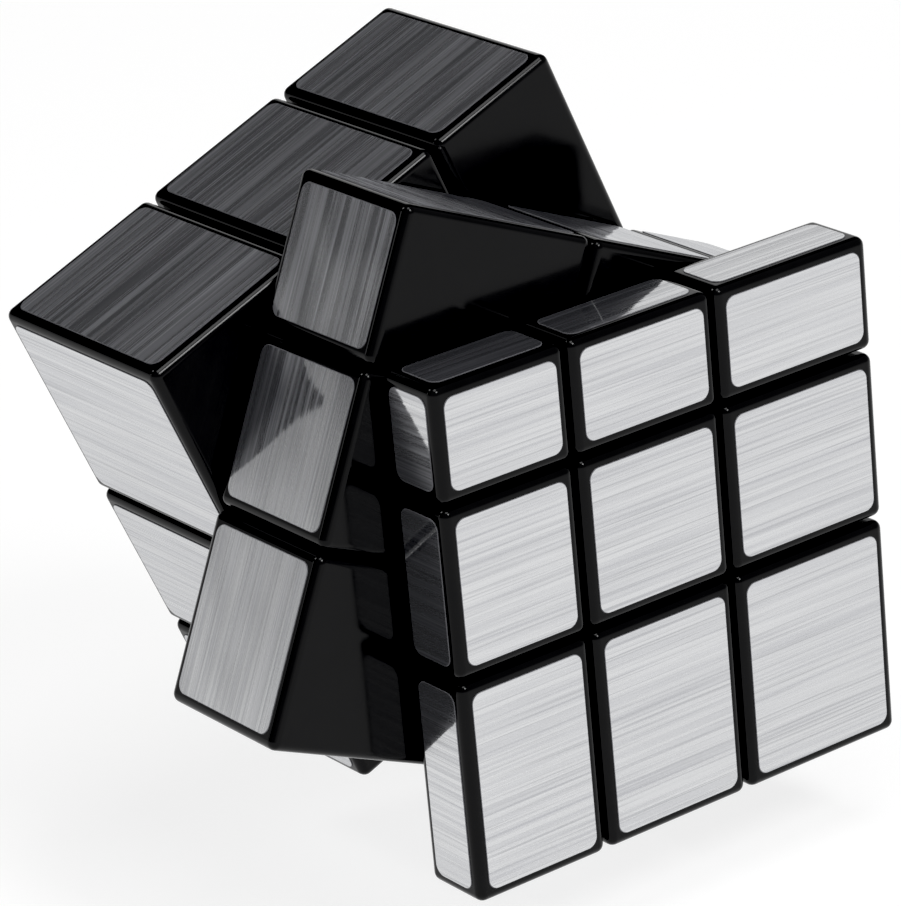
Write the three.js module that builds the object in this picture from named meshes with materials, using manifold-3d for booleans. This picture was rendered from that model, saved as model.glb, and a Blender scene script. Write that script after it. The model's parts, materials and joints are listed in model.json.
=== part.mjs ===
// A 3 x 3 x 3 mirror puzzle: twenty-six black blocks of unequal thickness turning on a
// six-armed core. Millimetres, +Z up, the turning axis of the three layers along Y.
// The front face is at y = 0 and its centre block's outer face is centred on the origin.
import * as THREE from "three";
import { RoundedBoxGeometry } from "three/addons/geometries/RoundedBoxGeometry.js";
import { mergeVertices } from "three/addons/utils/BufferGeometryUtils.js";
import Module from "manifold-3d";

const wasm = await Module();
wasm.setup();

// ---- Driving dimensions -------------------------------------------------------------

// Block spaces: every middle slice is one module thick, the outer slices are unequal.
const MIDDLE = 19;
const CUT = MIDDLE / 2;
const LEFT = 17;
const RIGHT = 21;
const FRONT = 9;
const BACK = 29;
const BOTTOM = 25;
const TOP = 13;

// Each block is its space less this much on every side.
const BLOCK_INSET = 0.25;
const BLOCK_EDGE_RADIUS = 1.0;
const BLOCK_EDGE_STEPS = 1;
const BLOCK_WALL = 1.7;

// How far the outside of the cube is from the core centre on each side.
const REACH = {
  x: { minus: LEFT + CUT, plus: RIGHT + CUT },
  y: { minus: FRONT + CUT, plus: BACK + CUT },
  z: { minus: BOTTOM + CUT, plus: TOP + CUT },
};
const CORE_Y = REACH.y.minus - BLOCK_INSET;

// Turned layers in the rest pose, in degrees about +Y from the front layer's position.
const MIDDLE_LAYER_TURN = 114.1;
const BACK_LAYER_TURN = 158.7;

// The hidden mechanism is built in zones round the core centre: feet nearest the core,
// then shoulders, then the blocks. Going inwards each zone is cut closer to the core, so
// feet hook under the neighbours' shoulders and shoulders under the neighbours' blocks.
// The zone limits are balls, which lets a layer turn about any of the three axes.
const MECHANISM_INSET = 0.2;
const FOOT = { cut: 5.5, end: 13, ballRadius: 15.3 };
const SHOULDER = { cut: 8.2, end: 14.4, cornerEnd: 11.7, ballRadius: 15.75 };
const BLOCKS_BALL_RADIUS = 19.6;
const BRIDGE = { from: 8.8, to: 12.2, half: 4.8 };
const RUNNING_BALL_DETAIL = 3;

// Corner blocks: the foot's peg stands in a socket along the block's diagonal.
const PEG_RADIUS = 0.9;
const SOCKET_RADIUS = 1.15;
const PEG_FROM = 14;
const PEG_TO = 22.3;
const SOCKET_TO = 23.5;
const CORNER_HOLLOW_FROM = 12.4;

// Edge blocks: a coring hole runs from the foot into the hollow block.
const CORING_HOLE_RADIUS = 1.2;
const CORING_HOLE_FROM = 10;
const CORING_HOLE_TO = 22.5;
const EDGE_HOLLOW_FROM = 14.6;

// Centre blocks: base with stalk and spring chamber, closed by a cap.
const BASE_TOP = 16.1;
const CAP_FROM = 16.25;
const CAP_NECK_TO = 19.5;
const STALK_RADIUS = 4.2;
const STALK_FROM = 9.9;
const CHAMBER_RADIUS = 3.4;
const CHAMBER_FLOOR = 11.4;
const SCREW_HOLE_RADIUS = 1.6;

// Screw, washer and spring, on the axis of each centre.
const SCREW_SHANK_RADIUS = 1.15;
const SCREW_TIP = 4.2;
const SCREW_HEAD_RADIUS = 2.6;
const SCREW_HEAD = { from: 14.65, to: 15.9 };
const SCREW_SLOT = { length: 3.2, width: 0.7, depth: 0.7 };
const WASHER = { from: 14.1, to: 14.5, radius: 2.95, hole: 1.35 };
const SPRING = { from: 11.5, to: 14.0, meanRadius: 2.35, wireRadius: 0.28, turns: 3.25 };
const SPRING_STEPS_PER_TURN = 10;
const SPRING_WIRE_SIDES = 5;

// Core: a ball with six arms, each with a pilot hole for its screw.
const CORE_BALL_RADIUS = 6.6;
const CORE_BALL_DETAIL = 1;
const ARM_RADIUS = 3.9;
const ARM_SIDES = 12;
const ARM_END = 9.6;
const PILOT_RADIUS = 1.3;
const PILOT_FROM = 3.9;

const ROUND_SIDES = 16;
const SMALL_ROUND_SIDES = 8;

// A hole is cut this far past the surfaces that it opens through, and a shank runs this far
// into the head that it carries.
const OVERCUT = 1;
// Corners of one mesh closer than this are the same corner.
const SAME_CORNER = 1e-4;

// ---- Materials ----------------------------------------------------------------------

const blackPlastic = new THREE.MeshStandardMaterial({
  color: 0x0c0c0e,
  roughness: 0.2,
  metalness: 0,
});
const corePlastic = new THREE.MeshStandardMaterial({
  color: 0x2a2b2e,
  roughness: 0.45,
  metalness: 0,
});
const steel = new THREE.MeshStandardMaterial({
  color: 0xb8babd,
  roughness: 0.3,
  metalness: 1,
});

// ---- From three.js geometry to solids and back --------------------------------------

function solid(geometry) {
  const bare = geometry.clone();
  bare.deleteAttribute("normal");
  bare.deleteAttribute("uv");
  const merged = mergeVertices(bare, SAME_CORNER);
  return new wasm.Manifold(
    new wasm.Mesh({
      numProp: 3,
      vertProperties: merged.attributes.position.array,
      triVerts: new Uint32Array(merged.index.array),
    }),
  );
}

function geometryOf(body) {
  const mesh = body.getMesh();
  const geometry = new THREE.BufferGeometry();
  geometry.setAttribute("position", new THREE.BufferAttribute(mesh.vertProperties, 3));
  geometry.setIndex(new THREE.BufferAttribute(mesh.triVerts, 1));
  const faceted = geometry.toNonIndexed();
  faceted.computeVertexNormals();
  return faceted;
}

const together = (...bodies) => bodies.reduce((sum, body) => sum.add(body));

// ---- Basic shapes -------------------------------------------------------------------

// A box between two corners, with sharp edges.
function box(low, high) {
  const size = high.clone().sub(low);
  const middle = low.clone().add(high).multiplyScalar(0.5);
  const geometry = new THREE.BoxGeometry(size.x, size.y, size.z);
  geometry.translate(middle.x, middle.y, middle.z);
  return solid(geometry);
}

// The same box with every edge rounded.
function roundedBox(low, high) {
  const size = high.clone().sub(low);
  const middle = low.clone().add(high).multiplyScalar(0.5);
  const geometry = new RoundedBoxGeometry(
    size.x,
    size.y,
    size.z,
    BLOCK_EDGE_STEPS,
    BLOCK_EDGE_RADIUS,
  );
  geometry.translate(middle.x, middle.y, middle.z);
  return solid(geometry);
}

// A ball round the core centre.
function ball(radius, detail = RUNNING_BALL_DETAIL) {
  return solid(new THREE.IcosahedronGeometry(radius, detail));
}

// A round bar along a direction from the core centre, between two distances.
function bar(direction, radius, from, to, sides = ROUND_SIDES) {
  const geometry = new THREE.CylinderGeometry(radius, radius, to - from, sides);
  geometry.translate(0, (from + to) / 2, 0);
  const turn = new THREE.Quaternion().setFromUnitVectors(
    new THREE.Vector3(0, 1, 0),
    direction.clone().normalize(),
  );
  geometry.applyQuaternion(turn);
  return solid(geometry);
}

// ---- The space each piece may fill --------------------------------------------------

// Low and high limit along one axis for a block on the minus side (-1), in the middle (0)
// or on the plus side (+1), with layers cut at the given distance from the core centre.
function limits(axis, side, cut, inset) {
  if (side === 0) return [inset - cut, cut - inset];
  if (side < 0) return [BLOCK_INSET - REACH[axis].minus, -cut - inset];
  return [cut + inset, REACH[axis].plus - BLOCK_INSET];
}

function corners(place, cut, inset) {
  const x = limits("x", place.x, cut, inset);
  const y = limits("y", place.y, cut, inset);
  const z = limits("z", place.z, cut, inset);
  return [new THREE.Vector3(x[0], y[0], z[0]), new THREE.Vector3(x[1], y[1], z[1])];
}

// The visible block, rounded outside and cut away round the mechanism.
function block(place) {
  const whole = roundedBox(...corners(place, CUT, BLOCK_INSET));
  return whole.subtract(ball(BLOCKS_BALL_RADIUS));
}

// A box in a piece's own sector: from one distance to another along each axis the piece
// is off-centre on, and to a half width each way along each axis it is centred on.
function sectorBox(place, from, to, half) {
  const low = new THREE.Vector3();
  const high = new THREE.Vector3();
  for (const axis of ["x", "y", "z"]) {
    const side = place[axis];
    low[axis] = side === 0 ? -half : Math.min(side * from, side * to);
    high[axis] = side === 0 ? half : Math.max(side * from, side * to);
  }
  return box(low, high);
}

function foot(place) {
  const { cut, end, ballRadius } = FOOT;
  const whole = sectorBox(place, cut + MECHANISM_INSET, end, cut - MECHANISM_INSET);
  return whole.intersect(ball(ballRadius));
}

function shoulder(place, end) {
  const { cut, ballRadius } = SHOULDER;
  const whole = sectorBox(place, cut + MECHANISM_INSET, end, cut - MECHANISM_INSET);
  return whole.subtract(ball(ballRadius));
}

// The hollow inside a block: its wall on the outside, more towards the mechanism.
function hollow(place, from) {
  const [low, high] = corners(place, CUT, BLOCK_INSET);
  low.addScalar(BLOCK_WALL);
  high.subScalar(BLOCK_WALL);
  for (const axis of ["x", "y", "z"]) {
    if (place[axis] > 0) low[axis] = from;
    if (place[axis] < 0) high[axis] = -from;
  }
  return box(low, high);
}

// A round bar along a piece's diagonal.
function diagonalBar(place, radius, from, to) {
  const diagonal = new THREE.Vector3(place.x, place.y, place.z);
  return bar(diagonal, radius, from, to, SMALL_ROUND_SIDES);
}

// ---- Corner pieces: hollow block and foot -------------------------------------------

function cornerShell(place) {
  return together(block(place), shoulder(place, SHOULDER.cornerEnd))
    .subtract(hollow(place, CORNER_HOLLOW_FROM))
    .subtract(diagonalBar(place, SOCKET_RADIUS, PEG_FROM, SOCKET_TO));
}

function cornerFoot(place) {
  return foot(place).add(diagonalBar(place, PEG_RADIUS, PEG_FROM, PEG_TO));
}

// ---- Edge pieces --------------------------------------------------------------------

function edgePiece(place) {
  const bridge = sectorBox(place, BRIDGE.from, BRIDGE.to, BRIDGE.half);
  return together(foot(place), bridge, shoulder(place, SHOULDER.end), block(place))
    .subtract(hollow(place, EDGE_HOLLOW_FROM))
    .subtract(diagonalBar(place, CORING_HOLE_RADIUS, CORING_HOLE_FROM, CORING_HOLE_TO));
}

// ---- Centre pieces: base on a stalk, and cap ----------------------------------------

function centreBase(face) {
  const half = SHOULDER.cut - MECHANISM_INSET;
  const plate = sectorBox(face.place, CUT, BASE_TOP, half).subtract(ball(SHOULDER.ballRadius));
  const stalk = bar(face.direction, STALK_RADIUS, STALK_FROM, BASE_TOP);
  const chamber = bar(face.direction, CHAMBER_RADIUS, CHAMBER_FLOOR, CAP_FROM);
  const screwHole = bar(face.direction, SCREW_HOLE_RADIUS, STALK_FROM - OVERCUT, CAP_FROM);
  return together(plate, stalk).subtract(chamber).subtract(screwHole);
}

// The cap is the centre's block above the base, hollow and open towards the base.
function centreCap(face) {
  const outerFace = face.reach - BLOCK_INSET;
  const half = SHOULDER.cut - MECHANISM_INSET;
  const above = sectorBox(face.place, CAP_FROM, outerFace, CUT);
  const neck = sectorBox(face.place, CAP_FROM, Math.min(outerFace, CAP_NECK_TO), half);
  const inside = sectorBox(face.place, BASE_TOP, outerFace - BLOCK_WALL, half - BLOCK_WALL);
  return block(face.place).intersect(above).add(neck).subtract(inside);
}

// ---- Screws, washers and springs ----------------------------------------------------

// These are built along +Z from the core centre, then turned to their face.
const UP = new THREE.Vector3(0, 0, 1);

function screw() {
  const head = bar(UP, SCREW_HEAD_RADIUS, SCREW_HEAD.from, SCREW_HEAD.to);
  const shankTop = SCREW_HEAD.from + OVERCUT;
  const shank = bar(UP, SCREW_SHANK_RADIUS, SCREW_TIP, shankTop, SMALL_ROUND_SIDES);
  const half = new THREE.Vector3(SCREW_SLOT.length / 2, SCREW_SLOT.width / 2, 0);
  const slotFloor = SCREW_HEAD.to - SCREW_SLOT.depth;
  const slotA = box(
    new THREE.Vector3(-half.x, -half.y, slotFloor),
    new THREE.Vector3(half.x, half.y, BASE_TOP),
  );
  const slotB = box(
    new THREE.Vector3(-half.y, -half.x, slotFloor),
    new THREE.Vector3(half.y, half.x, BASE_TOP),
  );
  return together(shank, head).subtract(slotA).subtract(slotB);
}

function washer() {
  const disc = bar(UP, WASHER.radius, WASHER.from, WASHER.to);
  const low = WASHER.from - OVERCUT;
  const high = WASHER.to + OVERCUT;
  const hole = bar(UP, WASHER.hole, low, high, SMALL_ROUND_SIDES);
  return disc.subtract(hole);
}

// The centre line of the spring's wire.
class Helix extends THREE.Curve {
  getPoint(t, target = new THREE.Vector3()) {
    const angle = 2 * Math.PI * SPRING.turns * t;
    const low = SPRING.from + SPRING.wireRadius;
    const high = SPRING.to - SPRING.wireRadius;
    return target.set(
      SPRING.meanRadius * Math.cos(angle),
      SPRING.meanRadius * Math.sin(angle),
      low + (high - low) * t,
    );
  }
}

function spring() {
  const wire = new THREE.Shape();
  for (let i = 0; i < SPRING_WIRE_SIDES; i++) {
    const angle = (2 * Math.PI * i) / SPRING_WIRE_SIDES;
    const x = SPRING.wireRadius * Math.cos(angle);
    const y = SPRING.wireRadius * Math.sin(angle);
    if (i === 0) wire.moveTo(x, y);
    else wire.lineTo(x, y);
  }
  const geometry = new THREE.ExtrudeGeometry(wire, {
    steps: Math.round(SPRING.turns * SPRING_STEPS_PER_TURN),
    extrudePath: new Helix(),
    bevelEnabled: false,
  });
  return solid(geometry);
}

// ---- Core ---------------------------------------------------------------------------

function core() {
  let body = ball(CORE_BALL_RADIUS, CORE_BALL_DETAIL);
  for (const face of FACES)
    body = body.add(bar(face.direction, ARM_RADIUS, PILOT_FROM, ARM_END, ARM_SIDES));
  for (const face of FACES) {
    const top = ARM_END + OVERCUT;
    const pilot = bar(face.direction, PILOT_RADIUS, PILOT_FROM, top, SMALL_ROUND_SIDES);
    body = body.subtract(pilot);
  }
  return body;
}

// ---- The six faces and the three layers ---------------------------------------------

const FACES = [
  { name: "left", axis: "x", side: -1 },
  { name: "right", axis: "x", side: 1 },
  { name: "front", axis: "y", side: -1 },
  { name: "back", axis: "y", side: 1 },
  { name: "bottom", axis: "z", side: -1 },
  { name: "top", axis: "z", side: 1 },
];
for (const face of FACES) {
  face.direction = new THREE.Vector3();
  face.direction[face.axis] = face.side;
  face.place = { x: 0, y: 0, z: 0, [face.axis]: face.side };
  face.reach = face.side < 0 ? REACH[face.axis].minus : REACH[face.axis].plus;
}

// Name of a piece from the faces it belongs to, such as front_top_left.
function placeName(place) {
  const order = ["y", "z", "x"];
  const faces = order.map((axis) =>
    FACES.find((face) => face.axis === axis && face.side === place[axis]),
  );
  return faces.filter(Boolean).map((face) => face.name).join("_");
}

function layer(name, turn) {
  const group = new THREE.Group();
  group.name = name;
  group.position.y = CORE_Y;
  group.rotation.y = THREE.MathUtils.degToRad(turn);
  return group;
}

const frontLayer = layer("front_layer", 0);
const middleLayer = layer("middle_layer", MIDDLE_LAYER_TURN);
const backLayer = layer("back_layer", BACK_LAYER_TURN);

function layerOf(side) {
  if (side < 0) return frontLayer;
  return side > 0 ? backLayer : middleLayer;
}

function add(group, name, body, material) {
  const mesh = new THREE.Mesh(geometryOf(body), material);
  mesh.name = name;
  group.add(mesh);
  return mesh;
}

add(middleLayer, "core", core(), corePlastic);

for (const face of FACES) {
  const inLayer = layerOf(face.place.y);
  add(inLayer, `centre_base_${face.name}`, centreBase(face), blackPlastic);
  add(inLayer, `centre_cap_${face.name}`, centreCap(face), blackPlastic);
  const turn = new THREE.Quaternion().setFromUnitVectors(UP, face.direction);
  for (const [kind, body] of [["screw", screw()], ["washer", washer()], ["spring", spring()]])
    add(middleLayer, `${kind}_${face.name}`, body, steel).quaternion.copy(turn);
}

const SIDES = [-1, 0, 1];
for (const y of SIDES)
  for (const z of SIDES)
    for (const x of SIDES) {
      const place = { x, y, z };
      const faces = Math.abs(x) + Math.abs(y) + Math.abs(z);
      const name = placeName(place);
      if (faces === 2) add(layerOf(y), `edge_${name}`, edgePiece(place), blackPlastic);
      if (faces === 3) {
        add(layerOf(y), `corner_shell_${name}`, cornerShell(place), blackPlastic);
        add(layerOf(y), `corner_foot_${name}`, cornerFoot(place), blackPlastic);
      }
    }

const cube = new THREE.Group();
cube.name = "mirror_puzzle_cube";
cube.add(frontLayer, middleLayer, backLayer);

export default cube;
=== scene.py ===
"""The looks of a mirror-finish twisty puzzle: glossy black blocks under brushed silver foil.

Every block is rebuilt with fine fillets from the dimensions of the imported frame, foil
labels are laid on the blocks' outer faces, and the hidden parts of the frame keep their
shape and get a material. Lengths are metres, in the frame's own axes.
"""

import json
import math
import random

import bmesh
import bpy
from mathutils import Matrix, Vector

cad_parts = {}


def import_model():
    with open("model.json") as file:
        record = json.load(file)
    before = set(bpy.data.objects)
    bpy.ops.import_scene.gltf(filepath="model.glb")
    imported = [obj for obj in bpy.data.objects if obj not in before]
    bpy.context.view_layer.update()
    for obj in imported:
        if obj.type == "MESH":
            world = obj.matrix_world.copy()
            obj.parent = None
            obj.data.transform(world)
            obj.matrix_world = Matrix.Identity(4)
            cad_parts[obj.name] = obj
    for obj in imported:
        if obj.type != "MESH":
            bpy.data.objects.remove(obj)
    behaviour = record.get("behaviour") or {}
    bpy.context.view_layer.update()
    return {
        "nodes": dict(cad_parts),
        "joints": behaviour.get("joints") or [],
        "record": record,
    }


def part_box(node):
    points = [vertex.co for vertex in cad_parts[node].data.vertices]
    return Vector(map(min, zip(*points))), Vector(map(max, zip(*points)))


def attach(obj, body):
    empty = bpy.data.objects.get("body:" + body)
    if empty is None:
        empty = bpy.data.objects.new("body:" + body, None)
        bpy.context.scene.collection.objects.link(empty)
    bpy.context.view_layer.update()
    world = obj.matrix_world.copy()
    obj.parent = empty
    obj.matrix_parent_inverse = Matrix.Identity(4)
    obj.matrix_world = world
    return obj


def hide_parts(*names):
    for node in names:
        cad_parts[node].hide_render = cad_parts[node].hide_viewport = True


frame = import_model()

MM = 0.001
AXES = ("x", "y", "z")

# ---- Driving dimensions ---------------------------------------------------------------

# Every middle slice is this thick, and a block is its space less this much on each side.
MIDDLE_SLICE = 19 * MM
BLOCK_INSET = 0.25 * MM
CUT = MIDDLE_SLICE / 2
BLOCK_FILLET = 1.0 * MM
FILLET_STEPS = 6
BLOCK_WALL = 1.7 * MM

# Foil labels lie on the flat of each outer face.
FOIL_MARGIN = 1.22 * MM
FOIL_CORNER = 1.15 * MM
FOIL_CORNER_STEPS = 8
FOIL_THICKNESS = 0.09 * MM
FOIL_SUNK = 0.03 * MM
FOIL_EDGE = 0.06 * MM
FOIL_EDGE_STEPS = 3
RIM_MATERIAL = 1

# The hidden mechanism, in zones round the core centre: distances along each axis.
MECHANISM_INSET = 0.2 * MM
FOOT = {"cut": 5.5 * MM, "end": 13 * MM, "ball": 15.3 * MM}
SHOULDER = {"cut": 8.2 * MM, "end": 14.4 * MM, "corner_end": 11.7 * MM, "ball": 15.75 * MM}
BLOCKS_BALL = 19.6 * MM
BRIDGE = {"from": 8.8 * MM, "to": 12.2 * MM, "half": 4.8 * MM}
CORNER_HOLLOW_FROM = 12.4 * MM
EDGE_HOLLOW_FROM = 14.6 * MM
SOCKET = {"radius": 1.15 * MM, "from": 14 * MM, "to": 23.5 * MM}
CORING = {"radius": 1.2 * MM, "from": 10 * MM, "to": 22.5 * MM}
CAP = {"from": 16.25 * MM, "neck_to": 19.5 * MM, "open_from": 16.1 * MM}
BALL_DETAIL = 5
BAR_SIDES = 24
CUT_PAST = 1 * MM

# Faces that meet at less than this stay smooth, and a face is flat along an axis below this.
SMOOTH_BELOW = math.radians(32)
FLAT_BELOW = 0.001

# ---- The three layers, read from the frame --------------------------------------------

# In each layer, a pair of parts that lie on the left and on the right of the turning axis.
LAYER_SIDES = {
    "front_layer": ("corner_shell_front_bottom_left", "corner_shell_front_bottom_right"),
    "middle_layer": ("screw_left", "screw_right"),
    "back_layer": ("corner_shell_back_bottom_left", "corner_shell_back_bottom_right"),
}
LAYER_OF_Y = {-1: "front_layer", 0: "middle_layer", 1: "back_layer"}
FACE_NAMES = {
    ("x", -1): "left",
    ("x", 1): "right",
    ("y", -1): "front",
    ("y", 1): "back",
    ("z", -1): "bottom",
    ("z", 1): "top",
}

core_centre = Vector(frame["joints"][0]["pos_m"])


def middle_of(node):
    low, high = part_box(node)
    return (low + high) / 2


def layer_turn(body):
    """The body's turn about +Y, from its flat faces, which stand square to one another."""
    total = 0j
    for name in frame["record"]["behaviour"]["bodies"][body]:
        for face in frame["nodes"][name].data.polygons:
            if abs(face.normal.y) < FLAT_BELOW:
                angle = math.atan2(-face.normal.z, face.normal.x)
                total += face.area * complex(math.cos(4 * angle), math.sin(4 * angle))
    within_quarter = math.atan2(total.imag, total.real) / 4
    left, right = LAYER_SIDES[body]
    across = middle_of(right) - middle_of(left)
    rough = math.atan2(-across.z, across.x)
    quarters = round((rough - within_quarter) / (math.pi / 2))
    return within_quarter + quarters * math.pi / 2


layer_frames = {}
for body in LAYER_SIDES:
    turn = Matrix.Rotation(layer_turn(body), 4, "Y")
    layer_frames[body] = Matrix.Translation(core_centre) @ turn


def reach_of_cube():
    """How far the blocks' outer faces are from the core centre, by axis and side."""
    reach = {}
    for body, place in layer_frames.items():
        to_layer = place.inverted()
        for name in frame["record"]["behaviour"]["bodies"][body]:
            for vertex in frame["nodes"][name].data.vertices:
                point = to_layer @ vertex.co
                for axis in AXES:
                    value = getattr(point, axis)
                    side = 1 if value > 0 else -1
                    reach[axis, side] = max(reach.get((axis, side), 0), abs(value))
    return reach


REACH = reach_of_cube()

# ---- Small mesh tools -----------------------------------------------------------------


def new_object(name, mesh):
    piece = bpy.data.objects.new(name, mesh)
    bpy.context.scene.collection.objects.link(piece)
    return piece


def object_of(shape, name):
    mesh = bpy.data.meshes.new(name)
    shape.to_mesh(mesh)
    shape.free()
    return new_object(name, mesh)


def box_shape(low, high):
    shape = bmesh.new()
    bmesh.ops.create_cube(shape, size=1)
    for vertex in shape.verts:
        for i in range(3):
            vertex.co[i] = low[i] if vertex.co[i] < 0 else high[i]
    return shape


def rounded_box_shape(low, high, radius, steps):
    shape = box_shape(low, high)
    bmesh.ops.bevel(
        shape,
        geom=shape.edges[:],
        offset=radius,
        segments=steps,
        profile=0.5,
        affect="EDGES",
    )
    return shape


def ball_object(radius):
    shape = bmesh.new()
    bmesh.ops.create_icosphere(shape, subdivisions=BALL_DETAIL, radius=radius)
    return object_of(shape, "cutting_ball")


def bar_object(direction, radius, start, end):
    shape = bmesh.new()
    bmesh.ops.create_cone(
        shape,
        cap_ends=True,
        segments=BAR_SIDES,
        radius1=radius,
        radius2=radius,
        depth=end - start,
    )
    turn = direction.to_track_quat("Z", "Y").to_matrix().to_4x4()
    shift = Matrix.Translation(Vector((0, 0, (start + end) / 2)))
    bmesh.ops.transform(shape, matrix=turn @ shift, verts=shape.verts)
    return object_of(shape, "cutting_bar")


def combine(piece, other, operation, keep_other=False):
    """Joins other to piece, cuts it away or keeps what they share."""
    change = piece.modifiers.new("combine", "BOOLEAN")
    change.operation = operation
    change.object = other
    change.solver = "MANIFOLD"
    apply_modifiers(piece)
    if not keep_other:
        bpy.data.objects.remove(other)
    return piece


def apply_modifiers(piece):
    graph = bpy.context.evaluated_depsgraph_get()
    mesh = bpy.data.meshes.new_from_object(piece.evaluated_get(graph))
    mesh.materials.clear()
    piece.modifiers.clear()
    piece.data = mesh
    mesh.name = piece.name


# ---- The space each piece may fill, in its layer's own axes ---------------------------


def limits(axis, side, cut, inset):
    if side == 0:
        return inset - cut, cut - inset
    near, far = cut + inset, REACH[axis, side]
    return (near, far) if side > 0 else (-far, -near)


def block_corners(place):
    spans = [limits(axis, side, CUT, BLOCK_INSET) for axis, side in zip(AXES, place)]
    return Vector([span[0] for span in spans]), Vector([span[1] for span in spans])


def sector_box(place, start, end, half):
    """A box in a piece's own sector: start to end on the axes where it is off centre."""
    low, high = Vector(), Vector()
    for i, side in enumerate(place):
        low[i] = -half if side == 0 else min(side * start, side * end)
        high[i] = half if side == 0 else max(side * start, side * end)
    return object_of(box_shape(low, high), "sector_box")


def foot(place):
    cut = FOOT["cut"]
    whole = sector_box(place, cut + MECHANISM_INSET, FOOT["end"], cut - MECHANISM_INSET)
    return combine(whole, ball_object(FOOT["ball"]), "INTERSECT")


def shoulder(place, end):
    cut = SHOULDER["cut"]
    whole = sector_box(place, cut + MECHANISM_INSET, end, cut - MECHANISM_INSET)
    return combine(whole, ball_object(SHOULDER["ball"]), "DIFFERENCE")


def hollow(place, start):
    """The hollow inside a block: one wall on the outside, more towards the mechanism."""
    low, high = block_corners(place)
    wall = Vector((BLOCK_WALL,) * 3)
    low, high = low + wall, high - wall
    for i, side in enumerate(place):
        if side > 0:
            low[i] = start
        if side < 0:
            high[i] = -start
    return object_of(box_shape(low, high), "hollow")


# ---- The visible blocks ---------------------------------------------------------------


def block(place):
    low, high = block_corners(place)
    shape = rounded_box_shape(low, high, BLOCK_FILLET, FILLET_STEPS)
    return combine(object_of(shape, "block"), ball_object(BLOCKS_BALL), "DIFFERENCE")


def corner_block(place):
    piece = combine(block(place), shoulder(place, SHOULDER["corner_end"]), "UNION")
    combine(piece, hollow(place, CORNER_HOLLOW_FROM), "DIFFERENCE")
    socket = bar_object(Vector(place), SOCKET["radius"], SOCKET["from"], SOCKET["to"])
    return combine(piece, socket, "DIFFERENCE")


def edge_block(place):
    piece = combine(block(place), shoulder(place, SHOULDER["end"]), "UNION")
    bridge = sector_box(place, BRIDGE["from"], BRIDGE["to"], BRIDGE["half"])
    combine(piece, combine(bridge, foot(place), "UNION"), "UNION")
    combine(piece, hollow(place, EDGE_HOLLOW_FROM), "DIFFERENCE")
    coring = bar_object(Vector(place), CORING["radius"], CORING["from"], CORING["to"])
    return combine(piece, coring, "DIFFERENCE")


def centre_block(place):
    axis, side = next((a, s) for a, s in zip(AXES, place) if s)
    outer_face = REACH[axis, side]
    half = SHOULDER["cut"] - MECHANISM_INSET
    above = sector_box(place, CAP["from"], outer_face + CUT_PAST, CUT)
    neck = sector_box(place, CAP["from"], min(outer_face - CUT_PAST, CAP["neck_to"]), half)
    inside = sector_box(place, CAP["open_from"], outer_face - BLOCK_WALL, half - BLOCK_WALL)
    piece = combine(block(place), above, "INTERSECT")
    combine(piece, neck, "UNION")
    return combine(piece, inside, "DIFFERENCE")


# ---- Foil labels ----------------------------------------------------------------------

# The brushing of a face's foil runs along this axis of its layer.
BRUSHED_ALONG = {"x": "y", "y": "x", "z": "x"}
FOIL_SEED = 7
GRAIN_SPREAD = 500
foil_random = random.Random(FOIL_SEED)


def rounded_outline(width, height):
    """The corners of a rectangle round the origin, with arcs at its corners."""
    points = []
    for quarter in range(4):
        x = (width / 2 - FOIL_CORNER) * (1 if quarter in (0, 3) else -1)
        y = (height / 2 - FOIL_CORNER) * (1 if quarter in (0, 1) else -1)
        for step in range(FOIL_CORNER_STEPS + 1):
            angle = math.pi / 2 * (quarter + step / FOIL_CORNER_STEPS)
            arc = Vector((math.cos(angle), math.sin(angle), 0)) * FOIL_CORNER
            points.append(Vector((x, y, 0)) + arc)
    return points


def foil_shape(width, height):
    """A foil label lying in the XY plane, its upper edge rounded over."""
    shape = bmesh.new()
    rings = [(0.0, -FOIL_SUNK)]
    for step in range(FOIL_EDGE_STEPS + 1):
        angle = math.pi / 2 * step / FOIL_EDGE_STEPS
        inward = FOIL_EDGE * (1 - math.cos(angle))
        rings.append((inward, FOIL_THICKNESS - FOIL_EDGE * (1 - math.sin(angle))))
    outline = rounded_outline(width, height)
    loops = []
    for inward, level in rings:
        loop = []
        for point in outline:
            across = 1 - 2 * inward / width
            up = 1 - 2 * inward / height
            loop.append(shape.verts.new((point.x * across, point.y * up, level)))
        loops.append(loop)
    count = len(outline)
    for lower, upper in zip(loops, loops[1:]):
        for i in range(count):
            following = (i + 1) % count
            side = shape.faces.new((lower[i], lower[following], upper[following], upper[i]))
            side.material_index = RIM_MATERIAL
    shape.faces.new(loops[-1])
    shape.faces.new(list(reversed(loops[0])))
    return shape


def foil(place, axis, side):
    """The foil on one outer face of a block, in its layer's own axes."""
    low, high = block_corners(place)
    along = BRUSHED_ALONG[axis]
    across = next(a for a in AXES if a not in (axis, along))
    a, b, c = AXES.index(along), AXES.index(across), AXES.index(axis)
    margin = 2 * FOIL_MARGIN
    width, height = high[a] - low[a] - margin, high[b] - low[b] - margin
    shape = foil_shape(width, height)
    grain = shape.loops.layers.uv.new("grain")
    start = Vector((foil_random.uniform(0, GRAIN_SPREAD), foil_random.uniform(0, GRAIN_SPREAD)))
    for face in shape.faces:
        for corner in face.loops:
            corner[grain].uv = Vector(corner.vert.co.xy) / MM + start
    turn = Matrix.Identity(4)
    for row in range(3):
        turn[row][0] = 1.0 if row == a else 0.0
        turn[row][1] = 1.0 if row == b else 0.0
        turn[row][2] = float(side) if row == c else 0.0
    turn.translation = (low + high) / 2
    turn.translation[c] = side * REACH[axis, side]
    bmesh.ops.transform(shape, matrix=turn, verts=shape.verts)
    if turn.to_3x3().determinant() < 0:
        bmesh.ops.reverse_faces(shape, faces=shape.faces)
    return shape


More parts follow.
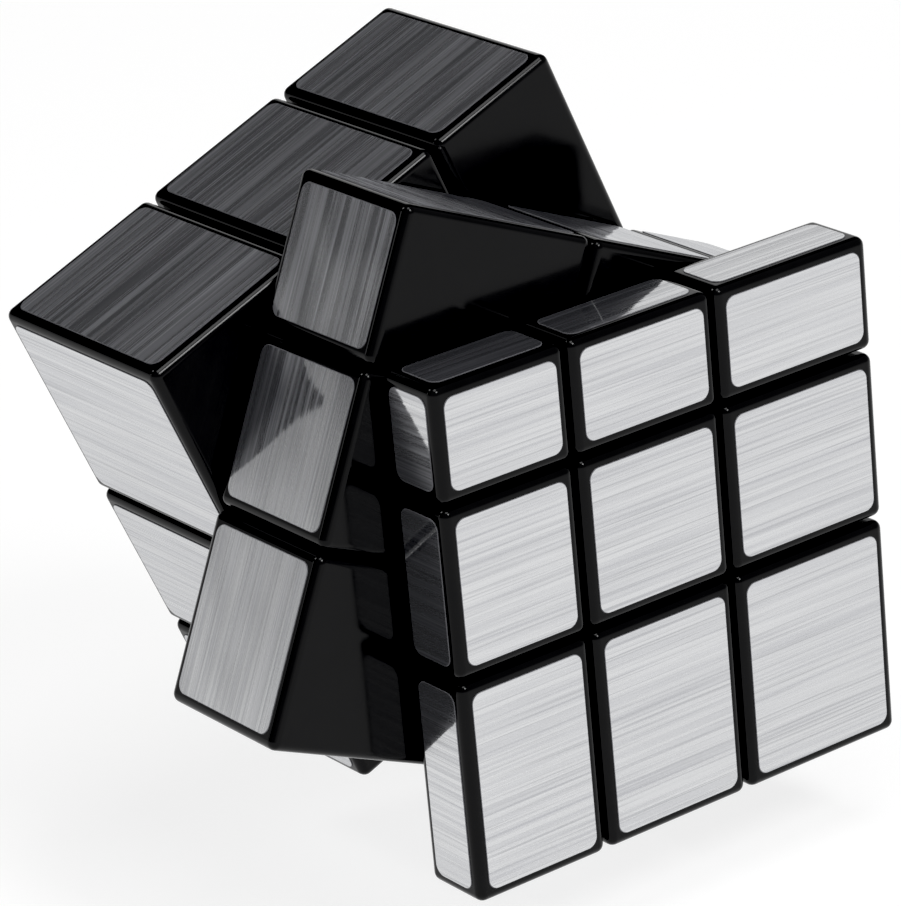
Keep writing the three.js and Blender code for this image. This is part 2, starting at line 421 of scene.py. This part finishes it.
# ---- Materials ------------------------------------------------------------------------


class Nodes:
    """The node tree of a material or the world, with short calls to add and link nodes."""

    def __init__(self, owner):
        owner.use_nodes = True
        self.owner = owner
        self.tree = owner.node_tree
        self.tree.nodes.clear()

    def add(self, kind, **settings):
        node = self.tree.nodes.new(kind)
        for key, value in settings.items():
            setattr(node, key, value)
        return node

    def link(self, source, target):
        self.tree.links.new(source, target)

    def in_mm(self):
        """The object's own coordinates in millimetres."""
        return self.scaled(self.add("ShaderNodeTexCoord").outputs["Object"], (1 / MM,) * 3)

    def scaled(self, coordinates, scale):
        """Coordinates multiplied by a scale along each axis."""
        node = self.add("ShaderNodeVectorMath", operation="MULTIPLY")
        self.link(coordinates, node.inputs[0])
        node.inputs[1].default_value = scale
        return node.outputs[0]

    def noise(self, coordinates, scale, detail=2.0, roughness=0.5):
        node = self.add("ShaderNodeTexNoise")
        self.link(self.scaled(coordinates, scale), node.inputs["Vector"])
        node.inputs["Scale"].default_value = 1.0
        node.inputs["Detail"].default_value = detail
        node.inputs["Roughness"].default_value = roughness
        return node.outputs["Fac"]

    def ranged(self, value, from_low, from_high, to_low, to_high):
        node = self.add("ShaderNodeMapRange")
        self.link(value, node.inputs["Value"])
        node.inputs["From Min"].default_value = from_low
        node.inputs["From Max"].default_value = from_high
        node.inputs["To Min"].default_value = to_low
        node.inputs["To Max"].default_value = to_high
        return node.outputs["Result"]

    def maths(self, operation, first, second):
        node = self.add("ShaderNodeMath", operation=operation)
        for socket, value in zip(node.inputs, (first, second)):
            if isinstance(value, (int, float)):
                socket.default_value = value
            else:
                self.link(value, socket)
        return node.outputs[0]

    def total(self, *parts):
        """A weighted sum of values, from pairs of a value and its weight."""
        total = 0.0
        for value, weight in parts:
            total = self.maths("ADD", total, self.maths("MULTIPLY", value, weight))
        return total

    def mix_colour(self, factor, first, second):
        node = self.add("ShaderNodeMix", data_type="RGBA")
        self.link(factor, node.inputs["Factor"])
        node.inputs["A"].default_value = (*first, 1)
        node.inputs["B"].default_value = (*second, 1)
        return node.outputs["Result"]

    def bump(self, height, distance):
        node = self.add("ShaderNodeBump")
        node.inputs["Strength"].default_value = 1.0
        node.inputs["Distance"].default_value = distance
        self.link(height, node.inputs["Height"])
        return node.outputs["Normal"]

    def output(self, shader):
        node = self.add("ShaderNodeOutputMaterial")
        self.link(shader, node.inputs["Surface"])
        return self.owner


# Streaks in the foil: how fast they change per millimetre, along the brushing and across it.
BROAD_STREAKS = (0.012, 0.4, 0)
MIDDLE_STREAKS = (0.018, 1.3, 0)
FINE_STREAKS = (0.03, 3.4, 0)
DULL_STREAKS = (0.022, 3.4, 0)
BUCKLES = (0.06, 0.12, 0)

# How deep each of them is in the foil's surface.
BUCKLE_DEPTH = 0.156 * MM
BROAD_DEPTH = 0.012 * MM
MIDDLE_DEPTH = 0.0084 * MM

FOIL_BRIGHT = (0.69, 0.695, 0.7)
FOIL_DULLED = (0.49, 0.495, 0.505)
FOIL_SCATTERED = (0.55, 0.555, 0.58)
FOIL_HAZE = (0.5, 0.51, 0.58)
MIRROR = {"roughness": 0.05, "anisotropy": 0.5}
SCATTER = {"roughness": 0.42, "anisotropy": 0.6}
SCATTERED_SHARE = (0.1, 0.7)
HAZE_SHARE = (0.035, 0.08)

RIM_COLOURS = ((0.08, 0.08, 0.09), (0.17, 0.17, 0.18))
RIM_NICKS = (1.5, 1.5, 1.5)


def gloss(nodes, tangent, look):
    """A glossy surface whose reflections spread across the tangent."""
    shader = nodes.add("ShaderNodeBsdfAnisotropic")
    shader.inputs["Roughness"].default_value = look["roughness"]
    shader.inputs["Anisotropy"].default_value = look["anisotropy"]
    nodes.link(tangent, shader.inputs["Tangent"])
    return shader


def mixed(nodes, share, first, second):
    shader = nodes.add("ShaderNodeMixShader")
    nodes.link(share, shader.inputs["Fac"])
    nodes.link(first.outputs[0], shader.inputs[1])
    nodes.link(second.outputs[0], shader.inputs[2])
    return shader


def foil_material():
    """Brushed foil: a clean mirror under lengthwise scratches that scatter its light."""
    nodes = Nodes(bpy.data.materials.new("brushed_silver_foil"))
    grain = nodes.add("ShaderNodeUVMap", uv_map="grain").outputs["UV"]
    tangent = nodes.add("ShaderNodeTangent", direction_type="UV_MAP", uv_map="grain").outputs[0]
    broad = nodes.noise(grain, BROAD_STREAKS, detail=1)
    middle = nodes.noise(grain, MIDDLE_STREAKS, roughness=0.6)
    fine = nodes.noise(grain, FINE_STREAKS, roughness=0.6)
    bands = nodes.ranged(nodes.total((broad, 0.25), (middle, 0.75)), 0.42, 0.6, 0.0, 1.0)
    lines = nodes.ranged(fine, 0.52, 0.68, 0.0, 1.0)
    scratched = nodes.total((bands, 0.5), (lines, 0.5))

    mirror = gloss(nodes, tangent, MIRROR)
    dull = nodes.noise(grain, DULL_STREAKS, detail=3, roughness=0.65)
    dulled = nodes.ranged(dull, 0.51, 0.65, 0.0, 1.0)
    nodes.link(nodes.mix_colour(dulled, FOIL_BRIGHT, FOIL_DULLED), mirror.inputs["Color"])
    buckle = nodes.noise(grain, BUCKLES, detail=1)
    height = nodes.total((buckle, BUCKLE_DEPTH), (broad, BROAD_DEPTH), (middle, MIDDLE_DEPTH))
    nodes.link(nodes.bump(height, 1.0), mirror.inputs["Normal"])

    scatter = gloss(nodes, tangent, SCATTER)
    scatter.distribution = "BECKMANN"
    scatter.inputs["Color"].default_value = (*FOIL_SCATTERED, 1)
    brushed = mixed(nodes, nodes.ranged(scratched, 0, 1, *SCATTERED_SHARE), mirror, scatter)

    haze = nodes.add("ShaderNodeBsdfDiffuse")
    haze.inputs["Color"].default_value = (*FOIL_HAZE, 1)
    hazed = mixed(nodes, nodes.ranged(scratched, 0, 1, *HAZE_SHARE), brushed, haze)
    return nodes.output(hazed.outputs[0])


def rim_material():
    """The cut edge of the foil's film, dull beside its face."""
    nodes = Nodes(bpy.data.materials.new("foil_rim"))
    nicks = nodes.noise(nodes.in_mm(), RIM_NICKS)
    shader = nodes.add("ShaderNodeBsdfPrincipled")
    nodes.link(nodes.mix_colour(nicks, *RIM_COLOURS), shader.inputs["Base Color"])
    nodes.link(nodes.ranged(nicks, 0.3, 0.7, 0.5, 0.7), shader.inputs["Roughness"])
    shader.inputs["Specular IOR Level"].default_value = 0.1
    return nodes.output(shader.outputs[0])


# Marks in the plastic, per millimetre, and how deep they are.
SMUDGES = 0.12
MOULDING_WAVES = 0.05
SPECKS = 9
WAVE_DEPTH = 0.12 * MM
SPECK_DEPTH = 0.0005 * MM
SMUDGE_ROUGHNESS = 0.06


def plastic_material(name, colour, roughness, specular, scale):
    """Moulded plastic: smudged gloss, a faint wave of the moulding and fine specks."""
    nodes = Nodes(bpy.data.materials.new(name))
    in_mm = nodes.in_mm()
    smudge = nodes.noise(in_mm, (SMUDGES * scale,) * 3, detail=4, roughness=0.65)
    wave = nodes.noise(in_mm, (MOULDING_WAVES * scale,) * 3, detail=1)
    speck = nodes.noise(in_mm, (SPECKS * scale,) * 3)
    shader = nodes.add("ShaderNodeBsdfPrincipled")
    lighter = tuple(value * 1.3 + 0.0005 for value in colour)
    tint = nodes.mix_colour(nodes.ranged(smudge, 0.4, 0.7, 0, 1), colour, lighter)
    nodes.link(tint, shader.inputs["Base Color"])
    dullness = nodes.ranged(smudge, 0.35, 0.7, roughness, roughness + SMUDGE_ROUGHNESS)
    nodes.link(dullness, shader.inputs["Roughness"])
    shader.inputs["Specular IOR Level"].default_value = specular
    height = nodes.total((wave, WAVE_DEPTH), (speck, SPECK_DEPTH))
    nodes.link(nodes.bump(height, 1.0), shader.inputs["Normal"])
    return nodes.output(shader.outputs[0])


TARNISH = (0.5, 0.5, 0.5)
STEEL_MARK_DEPTH = 0.01 * MM
STEEL_MARK_ROUGHNESS = 0.15


def steel_material(name, colour, roughness, grain):
    """Plated or drawn steel, with marks of the given number per millimetre on each axis."""
    nodes = Nodes(bpy.data.materials.new(name))
    in_mm = nodes.in_mm()
    marks = nodes.noise(in_mm, grain, detail=3, roughness=0.6)
    tarnish = nodes.noise(in_mm, TARNISH, detail=3)
    shader = nodes.add("ShaderNodeBsdfPrincipled")
    shader.inputs["Metallic"].default_value = 1.0
    duller = tuple(value * 0.7 for value in colour)
    tint = nodes.mix_colour(nodes.ranged(tarnish, 0.35, 0.7, 0, 1), colour, duller)
    nodes.link(tint, shader.inputs["Base Color"])
    dullness = nodes.ranged(marks, 0.3, 0.7, roughness, roughness + STEEL_MARK_ROUGHNESS)
    nodes.link(dullness, shader.inputs["Roughness"])
    nodes.link(nodes.bump(marks, STEEL_MARK_DEPTH), shader.inputs["Normal"])
    return nodes.output(shader.outputs[0])


foil_finish = foil_material()
foil_rim = rim_material()
block_plastic = plastic_material(
    "block_plastic", (0.0015, 0.0015, 0.0018), roughness=0.08, specular=0.16, scale=1.0
)
inner_plastic = plastic_material(
    "inner_plastic", (0.012, 0.012, 0.013), roughness=0.3, specular=0.4, scale=1.6
)
core_plastic = plastic_material(
    "core_plastic", (0.05, 0.05, 0.055), roughness=0.4, specular=0.45, scale=2.2
)
screw_steel = steel_material("screw_steel", (0.62, 0.63, 0.65), roughness=0.22, grain=(3, 3, 0.6))
washer_steel = steel_material("washer_steel", (0.66, 0.67, 0.68), roughness=0.28, grain=(2, 2, 2))
spring_steel = steel_material("spring_steel", (0.5, 0.51, 0.54), roughness=0.25, grain=(6, 6, 6))


# ---- Blocks and foil in place ---------------------------------------------------------


def faces_of(place):
    return [(axis, side) for axis, side in zip(AXES, place) if side]


def place_name(place):
    """Such as front_top_left, in the order that the frame's names use."""
    x, y, z = place
    found = [FACE_NAMES[a, s] for a, s in (("y", y), ("z", z), ("x", x)) if s]
    return "_".join(found)


BLOCK_KINDS = {
    1: ("centre_block", "centre_cap", centre_block),
    2: ("edge_block", "edge", edge_block),
    3: ("corner_block", "corner_shell", corner_block),
}


def finish_shading(piece):
    """Smooth fillets beside flat faces that stay flat."""
    piece.data.shade_smooth()
    piece.data.set_sharp_from_angle(angle=SMOOTH_BELOW)
    weighted = piece.modifiers.new("weighted_normals", "WEIGHTED_NORMAL")
    weighted.keep_sharp = True
    weighted.weight = 100


def put_in_layer(piece, place, materials):
    body = LAYER_OF_Y[place[1]]
    piece.data.transform(layer_frames[body])
    for material in materials:
        piece.data.materials.append(material)
    finish_shading(piece)
    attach(piece, body)


places = [(x, y, z) for y in (-1, 0, 1) for z in (-1, 0, 1) for x in (-1, 0, 1)]
for place in places:
    faces = faces_of(place)
    if not faces:
        continue
    kind, node_kind, build = BLOCK_KINDS[len(faces)]
    name = place_name(place)
    piece = build(place)
    piece.name = f"{kind}_{name}"
    put_in_layer(piece, place, [block_plastic])
    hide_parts(f"{node_kind}_{name}")
    for axis, side in faces:
        label = object_of(foil(place, axis, side), f"foil_{FACE_NAMES[axis, side]}_of_{name}")
        put_in_layer(label, place, [foil_finish, foil_rim])

# ---- The hidden parts that keep their CAD shape ---------------------------------------

CARRIED = {
    "core": core_plastic,
    "screw": screw_steel,
    "washer": washer_steel,
    "spring": spring_steel,
    "centre_base": inner_plastic,
    "corner_foot": inner_plastic,
}
for name, node in frame["nodes"].items():
    for kind, material in CARRIED.items():
        if name == kind or name.startswith(kind + "_"):
            node.data.materials.clear()
            node.data.materials.append(material)

# ---- Studio ---------------------------------------------------------------------------

FLOOR_CLEARANCE = 0.3 * MM
FLOOR_HALF = 6.0
FLOOR_COLOUR = (0.3, 0.3, 0.3)
FLOOR_GLOW = 0.77

# Heights in the world, in degrees above the horizon, and how bright it is there.
HORIZON = {"pale_below": 4.0, "dark_above": 9.9, "pale": 0.75, "dark": 0.04}
UPPER = {"from": 14, "to": 22, "darker": 0.015}

# The wall in front of the cube fades out where the direction's Y goes from one to the other.
FRONT_WALL = {"full_at": -0.1, "none_at": 0.15, "level": 0.28}

# Round bright patches of the world; full and none are angular radii in degrees.
WINDOWS = (
    {"azimuth": 141, "elevation": 15.8, "full": 14, "none": 19, "level": 1.0},
    {"azimuth": -127, "elevation": 16, "full": 5, "none": 9, "level": 2.0},
)

CAMERA_AZIMUTH = -34.87
CAMERA_ELEVATION = 21.95
CAMERA_ROLL = math.radians(-5.485)
CAMERA_DISTANCE = 0.508
CAMERA_AIM = Vector((-7.36, 6.6, 2.99)) * MM
SENSOR_WIDTH = 36
FOCAL_LENGTH = 192.47

BLACK_LEVEL = 0.005


def direction_to(azimuth, elevation):
    """Azimuth 0 is in front of the cube, and goes round to the right; both are in degrees."""
    azimuth, elevation = math.radians(azimuth), math.radians(elevation)
    level = math.cos(elevation)
    return Vector((math.sin(azimuth) * level, -math.cos(azimuth) * level, math.sin(elevation)))


def sine(degrees):
    return math.sin(math.radians(degrees))


def cosine(degrees):
    return math.cos(math.radians(degrees))


def swept_radius():
    """How far the furthest block corner is from the turning axis."""
    return math.hypot(max(REACH["x", -1], REACH["x", 1]), max(REACH["z", -1], REACH["z", 1]))


def floor():
    """A pale floor, just clear of every pose, that gives a little light of its own."""
    level = core_centre.z - swept_radius() - FLOOR_CLEARANCE
    shape = bmesh.new()
    bmesh.ops.create_grid(shape, x_segments=1, y_segments=1, size=FLOOR_HALF)
    bmesh.ops.translate(shape, vec=(0, 0, level), verts=shape.verts)
    piece = object_of(shape, "studio_floor")
    nodes = Nodes(bpy.data.materials.new("studio_floor"))
    shader = nodes.add("ShaderNodeBsdfPrincipled")
    shader.inputs["Base Color"].default_value = (*FLOOR_COLOUR, 1)
    shader.inputs["Roughness"].default_value = 0.7
    shader.inputs["Specular IOR Level"].default_value = 0.1
    shader.inputs["Emission Color"].default_value = (1, 1, 1, 1)
    shader.inputs["Emission Strength"].default_value = FLOOR_GLOW
    piece.data.materials.append(nodes.output(shader.outputs[0]))


def softbox(name, azimuth, elevation, distance, size, power):
    """A square light aimed at the cube."""
    lamp = bpy.data.lights.new(name, "AREA")
    lamp.shape = "SQUARE"
    lamp.size = size
    lamp.energy = power
    holder = new_object(name, lamp)
    away = direction_to(azimuth, elevation)
    holder.location = core_centre + away * distance
    holder.rotation_euler = (-away).to_track_quat("-Z", "Y").to_euler()


def window(nodes, direction, azimuth, elevation, full, none, level):
    towards = nodes.add("ShaderNodeVectorMath", operation="DOT_PRODUCT")
    nodes.link(direction, towards.inputs[0])
    towards.inputs[1].default_value = direction_to(azimuth, elevation)
    return nodes.ranged(towards.outputs["Value"], cosine(none), cosine(full), 0.0, level)


def world():
    """A pale horizon and front wall, two windows behind the cube, and a dark upper studio."""
    background = bpy.data.worlds.new("studio")
    bpy.context.scene.world = background
    nodes = Nodes(background)
    direction = nodes.add("ShaderNodeTexCoord").outputs["Generated"]
    split = nodes.add("ShaderNodeSeparateXYZ")
    nodes.link(direction, split.inputs[0])
    height = split.outputs["Z"]
    horizon = nodes.ranged(
        height,
        sine(HORIZON["pale_below"]),
        sine(HORIZON["dark_above"]),
        HORIZON["pale"],
        HORIZON["dark"],
    )
    upper = nodes.ranged(height, sine(UPPER["from"]), sine(UPPER["to"]), 0.0, UPPER["darker"])
    front_wall = nodes.ranged(
        split.outputs["Y"], FRONT_WALL["full_at"], FRONT_WALL["none_at"], FRONT_WALL["level"], 0.0
    )
    level = nodes.maths("MAXIMUM", nodes.maths("SUBTRACT", horizon, upper), front_wall)
    for place in WINDOWS:
        level = nodes.maths("MAXIMUM", level, window(nodes, direction, **place))
    glow = nodes.add("ShaderNodeBackground")
    nodes.link(level, glow.inputs["Color"])
    output = nodes.add("ShaderNodeOutputWorld")
    nodes.link(glow.outputs[0], output.inputs["Surface"])


def camera():
    """The photograph's viewing angle, with its slight roll."""
    back = direction_to(CAMERA_AZIMUTH, CAMERA_ELEVATION)
    lens = bpy.data.cameras.new("camera")
    lens.sensor_width = SENSOR_WIDTH
    lens.lens = FOCAL_LENGTH
    lens.clip_start = 10 * MM
    lens.clip_end = 50
    holder = new_object("camera", lens)
    holder.location = core_centre + CAMERA_AIM + back * CAMERA_DISTANCE
    level_turn = (-back).to_track_quat("-Z", "Y").to_matrix().to_4x4()
    turn = level_turn @ Matrix.Rotation(CAMERA_ROLL, 4, "Z")
    holder.rotation_euler = turn.to_euler()
    bpy.context.scene.camera = holder


def picture_levels():
    """Plain colours, with a black level that keeps the plastic deep black."""
    look = bpy.context.scene.view_settings
    look.view_transform = "Standard"
    look.use_curve_mapping = True
    look.curve_mapping.black_level = (BLACK_LEVEL,) * 3
    look.curve_mapping.update()


floor()
world()
softbox("front_softbox", azimuth=5, elevation=45, distance=1.4, size=0.35, power=8)
softbox("top_softbox", azimuth=-7, elevation=72, distance=1.5, size=0.6, power=7)
softbox("back_softbox", azimuth=-140, elevation=50, distance=1.4, size=0.3, power=3)
camera()
picture_levels()

# ---- Last update of the view layer ----------------------------------------------------

bpy.context.view_layer.update()
